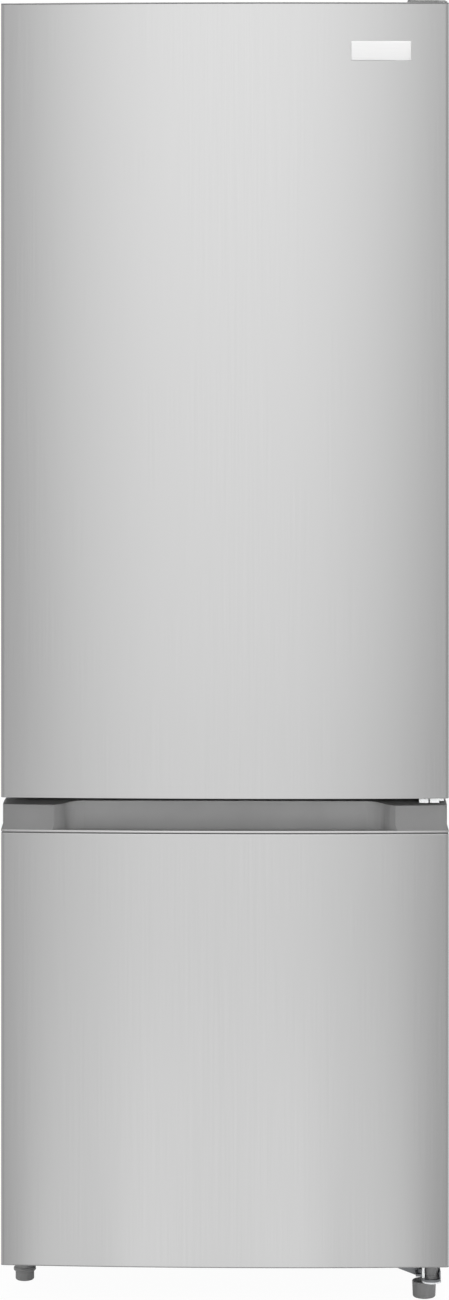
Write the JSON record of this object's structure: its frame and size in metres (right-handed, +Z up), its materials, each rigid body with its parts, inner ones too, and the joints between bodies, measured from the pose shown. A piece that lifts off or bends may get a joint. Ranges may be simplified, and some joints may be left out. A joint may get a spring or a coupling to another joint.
{
  "type": "bottom-freezer refrigerator",
  "caption": "Tall bottom-freezer refrigerator with bowed brushed-steel doors, a grip pocket in the lower door's top edge and a fitted interior",
  "frame": {"origin": "on the floor, under the middle of the overall box", "axes": "+Z up, doors and grip towards -Y, hinges on the +X side"},
  "size_m": [0.5964, 0.66, 1.7465],
  "materials": {
    "door_steel": "fine brushed sheet under clear coat",
    "badge_metal": "bright satin plate, left blank",
    "grey_plastic": "fine-grained moulded plastic",
    "cabinet_paint": "grey textured paint on sheet steel",
    "galvanised_sheet": "galvanised sheet",
    "zinc_steel": "zinc-plated steel",
    "white_liner": "vacuum-formed sheet with a soft shine",
    "rigid_foam": "closed-cell rigid foam",
    "gasket_vinyl": "soft magnetic gasket",
    "black_rubber": "moulded rubber",
    "clear_plastic": "clear moulded plastic",
    "shelf_glass": "toughened glass",
    "shelf_trim": "moulded edge trim",
    "lamp_lens": "frosted lens",
    "grey_knob": "moulded plastic",
    "black_plastic": "moulded plastic",
    "roller_nylon": "moulded nylon",
    "compressor_enamel": "black enamel on steel",
    "copper_tube": "drawn copper tube",
    "fin_aluminium": "mill-finish fins and tube"
  },
  "bodies": {
    "cabinet": {"top_hinge_cover": "grey_plastic", "side_panel_right": "cabinet_paint", "side_panel_left": "cabinet_paint", "top_panel": "cabinet_paint", "mullion_rail": "cabinet_paint", "back_panel": "galvanised_sheet", "bottom_pan": "galvanised_sheet", "compressor_base": "galvanised_sheet", "top_hinge": "zinc_steel", "middle_hinge": "zinc_steel", "bottom_hinge": "zinc_steel", "cabinet_screws": "zinc_steel", "roller_axles": "zinc_steel", "fresh_food_liner": "white_liner", "freezer_liner": "white_liner", "fresh_food_duct_panel": "white_liner", "freezer_duct_panel": "white_liner", "control_housing": "white_liner", "cabinet_foam": "rigid_foam", "compressor_grommets": "black_rubber", "shelf_glass_upper": "shelf_glass", "shelf_glass_middle": "shelf_glass", "shelf_glass_lower": "shelf_glass", "crisper_cover_glass": "shelf_glass", "shelf_trims": "shelf_trim", "light_lens": "lamp_lens", "compressor_terminal_cover": "black_plastic", "power_cord_gland": "black_plastic", "drip_pan": "black_plastic", "compressor": "compressor_enamel", "fan_motor": "compressor_enamel", "refrigerant_pipes": "copper_tube", "condenser_coils": "copper_tube", "evaporator": "fin_aluminium"},
    "upper_door": {"upper_door_skin": "door_steel", "badge_plate": "badge_metal", "upper_door_top_cap": "grey_plastic", "upper_door_bottom_cap": "grey_plastic", "upper_door_liner": "white_liner", "upper_door_foam": "rigid_foam", "upper_door_gasket": "gasket_vinyl"},
    "lower_door": {"lower_door_skin": "door_steel", "lower_door_grip_cap": "grey_plastic", "lower_door_bottom_cap": "grey_plastic", "lower_door_liner": "white_liner", "lower_door_foam": "rigid_foam", "lower_door_gasket": "gasket_vinyl"},
    "right_front_foot": {"right_front_foot": "grey_plastic"},
    "left_front_foot": {"left_front_foot": "grey_plastic"},
    "crisper_drawer": {"crisper_drawer": "clear_plastic"},
    "door_bin_upper": {"door_bin_upper": "clear_plastic"},
    "door_bin_middle": {"door_bin_middle": "clear_plastic"},
    "door_bin_lower": {"door_bin_lower": "clear_plastic"},
    "freezer_drawer_upper": {"freezer_drawer_upper": "clear_plastic"},
    "freezer_drawer_middle": {"freezer_drawer_middle": "clear_plastic"},
    "freezer_drawer_lower": {"freezer_drawer_lower": "clear_plastic"},
    "temperature_knob": {"temperature_knob": "grey_knob"},
    "evaporator_fan": {"evaporator_fan": "black_plastic"},
    "rear_roller_right": {"rear_roller_right": "roller_nylon"},
    "rear_roller_left": {"rear_roller_left": "roller_nylon"}
  },
  "joints": [
    {"name": "upper_door_hinge", "type": "hinge", "parent": "cabinet", "child": "upper_door", "pos_m": [0.276, -0.295, 1.20545], "axis": [0, 0, 1], "range_deg": [0, 120]},
    {"name": "lower_door_hinge", "type": "hinge", "parent": "cabinet", "child": "lower_door", "pos_m": [0.276, -0.295, 0.3612], "axis": [0, 0, 1], "range_deg": [0, 120]},
    {"name": "door_bin_upper_lift", "type": "slide", "parent": "upper_door", "child": "door_bin_upper", "axis": [0, 0, 1], "range_m": [0, 0.1]},
    {"name": "door_bin_middle_lift", "type": "slide", "parent": "upper_door", "child": "door_bin_middle", "axis": [0, 0, 1], "range_m": [0, 0.1]},
    {"name": "door_bin_lower_lift", "type": "slide", "parent": "upper_door", "child": "door_bin_lower", "axis": [0, 0, 1], "range_m": [0, 0.1]},
    {"name": "crisper_drawer_slide", "type": "slide", "parent": "cabinet", "child": "crisper_drawer", "axis": [0, -1, 0], "range_m": [0, 0.018]},
    {"name": "freezer_drawer_upper_slide", "type": "slide", "parent": "cabinet", "child": "freezer_drawer_upper", "axis": [0, -1, 0], "range_m": [0, 0.015]},
    {"name": "freezer_drawer_middle_slide", "type": "slide", "parent": "cabinet", "child": "freezer_drawer_middle", "axis": [0, -1, 0], "range_m": [0, 0.022]},
    {"name": "freezer_drawer_lower_slide", "type": "slide", "parent": "cabinet", "child": "freezer_drawer_lower", "axis": [0, -1, 0], "range_m": [0, 0.022]},
    {"name": "temperature_knob_turn", "type": "hinge", "parent": "cabinet", "child": "temperature_knob", "pos_m": [0.08, -0.056, 1.638], "axis": [0, 0, 1], "range_deg": [0, 300]},
    {"name": "evaporator_fan_spin", "type": "hinge", "parent": "cabinet", "child": "evaporator_fan", "pos_m": [0, 0.177, 0.57], "axis": [0, 1, 0], "continuous": true},
    {"name": "right_front_foot_turn", "type": "hinge", "parent": "cabinet", "child": "right_front_foot", "pos_m": [0.2673, -0.269, 0.011], "axis": [0, 0, 1], "continuous": true},
    {"name": "left_front_foot_turn", "type": "hinge", "parent": "cabinet", "child": "left_front_foot", "pos_m": [-0.2762, -0.196, 0.0125], "axis": [0, 0, 1], "continuous": true},
    {"name": "rear_roller_right_roll", "type": "hinge", "parent": "cabinet", "child": "rear_roller_right", "pos_m": [0.26325, 0.298, 0.017], "axis": [1, 0, 0], "continuous": true},
    {"name": "rear_roller_left_roll", "type": "hinge", "parent": "cabinet", "child": "rear_roller_left", "pos_m": [-0.26325, 0.298, 0.017], "axis": [1, 0, 0], "continuous": true}
  ]
}
